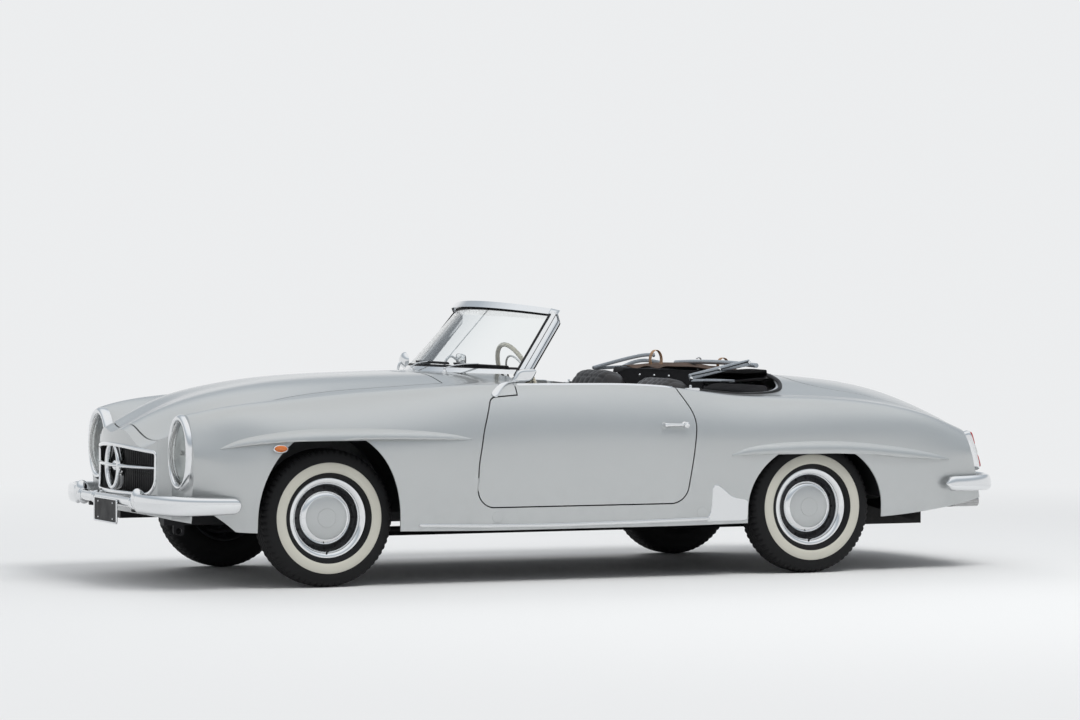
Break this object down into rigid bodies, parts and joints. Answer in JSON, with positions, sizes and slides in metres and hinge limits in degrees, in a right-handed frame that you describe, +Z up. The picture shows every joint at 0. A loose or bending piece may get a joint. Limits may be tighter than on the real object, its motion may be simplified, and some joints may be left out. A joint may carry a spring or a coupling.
{
  "type": "open two-seat roadster car with a folded soft top",
  "caption": "Open two-seat roadster car, soft top folded, with opening doors, hood and boot lid, steering front wheels and rolling whitewall tyres.",
  "frame": {"origin": "on the ground under the middle of the length and width", "axes": "+X forward, +Y to the left of the car, +Z up"},
  "size_m": [4.2899, 1.7718, 1.2769],
  "materials": {
    "body_paint": "satin metallic silver grey",
    "bow_metal": "painted grey",
    "chassis_metal": "painted dark",
    "chrome": "polished",
    "lamp_glass": "clear fluted",
    "pipe_steel": "dull",
    "plate_black": "blank",
    "screen_glass": "clear",
    "seat_leather": "smooth, pleated",
    "steering_ivory": "moulded ivory",
    "tail_lens": "moulded red with a clear middle",
    "top_fabric": "woven, folded",
    "tyre_rubber": "satin, pale side band",
    "wheel_metal": "polished trim on painted steel"
  },
  "bodies": {
    "root": {"boot_floor": "chassis_metal", "cowl_panel": "body_paint", "dashboard": "body_paint", "driveline": "chassis_metal", "engine_block": "chassis_metal", "exhaust": "pipe_steel", "firewall": "chassis_metal", "floor_pan": "chassis_metal", "folded_top": "top_fabric", "frame_rails": "chassis_metal", "front_axle": "chassis_metal", "front_bumper": "chrome", "front_fenders": "body_paint", "grille": "chrome", "headlamp_lenses": "lamp_glass", "headlamp_rings": "chrome", "nose_panel": "body_paint", "number_plate": "plate_black", "rear_axle": "chassis_metal", "rear_bulkhead": "chassis_metal", "rear_bumper": "chrome", "rear_deck_panel": "body_paint", "rear_fenders": "body_paint", "seats": "seat_leather", "sills": "body_paint", "tail_lamps": "tail_lens", "top_bows": "bow_metal", "wheel_houses": "chassis_metal", "windshield_frame": "chrome", "windshield_glass": "screen_glass"},
    "door_left": {"door_left": "body_paint"},
    "door_right": {"door_right": "body_paint"},
    "hood": {"hood": "body_paint"},
    "knuckle_left": {"knuckle_left": "chassis_metal"},
    "knuckle_right": {"knuckle_right": "chassis_metal"},
    "steering": {"steering_wheel": "steering_ivory"},
    "trunk_lid": {"trunk_lid": "body_paint"},
    "wheel_front_left": {"tyre_front_left": "tyre_rubber", "wheel_front_left": "wheel_metal"},
    "wheel_front_right": {"tyre_front_right": "tyre_rubber", "wheel_front_right": "wheel_metal"},
    "wheel_rear_left": {"tyre_rear_left": "tyre_rubber", "wheel_rear_left": "wheel_metal"},
    "wheel_rear_right": {"tyre_rear_right": "tyre_rubber", "wheel_rear_right": "wheel_metal"}
  },
  "joints": [
    {"name": "steering", "type": "hinge", "parent": "root", "child": "steering", "pos_m": [0.234, 0.37, 0.897], "axis": [-0.9272, 0, 0.3746], "range_deg": [-496, 496]},
    {"name": "steer_left", "type": "hinge", "parent": "root", "child": "knuckle_left", "pos_m": [1.33, 0.62, 0.31], "axis": [0, 0, 1], "range_deg": [-32, 32]},
    {"name": "steer_right", "type": "hinge", "parent": "root", "child": "knuckle_right", "pos_m": [1.33, -0.62, 0.31], "axis": [0, 0, 1], "range_deg": [-32, 32]},
    {"name": "spin_front_left", "type": "hinge", "parent": "knuckle_left", "child": "wheel_front_left", "pos_m": [1.33, 0.715, 0.31], "axis": [0, 1, 0], "continuous": true},
    {"name": "spin_front_right", "type": "hinge", "parent": "knuckle_right", "child": "wheel_front_right", "pos_m": [1.33, -0.715, 0.31], "axis": [0, 1, 0], "continuous": true},
    {"name": "spin_rear_left", "type": "hinge", "parent": "root", "child": "wheel_rear_left", "pos_m": [-1.07, 0.7375, 0.31], "axis": [0, 1, 0], "continuous": true},
    {"name": "spin_rear_right", "type": "hinge", "parent": "root", "child": "wheel_rear_right", "pos_m": [-1.07, -0.7375, 0.31], "axis": [0, 1, 0], "continuous": true},
    {"name": "door_left_hinge", "type": "hinge", "parent": "root", "child": "door_left", "pos_m": [0.637, 0.8576, 0.6], "axis": [0, 0, -1], "range_deg": [0, 65]},
    {"name": "door_right_hinge", "type": "hinge", "parent": "root", "child": "door_right", "pos_m": [0.637, -0.8576, 0.6], "axis": [0, 0, 1], "range_deg": [0, 65]},
    {"name": "hood_hinge", "type": "hinge", "parent": "root", "child": "hood", "pos_m": [0.697, 0, 0.945], "axis": [0, -1, 0], "range_deg": [0, 50]},
    {"name": "trunk_hinge", "type": "hinge", "parent": "root", "child": "trunk_lid", "pos_m": [-1.212, 0, 0.918], "axis": [0, 1, 0], "range_deg": [0, 60]}
  ],
  "couplings": [
    {"joint": "steer_left", "follows": "steering", "ratio": 0.0625},
    {"joint": "steer_right", "follows": "steering", "ratio": 0.0625}
  ]
}
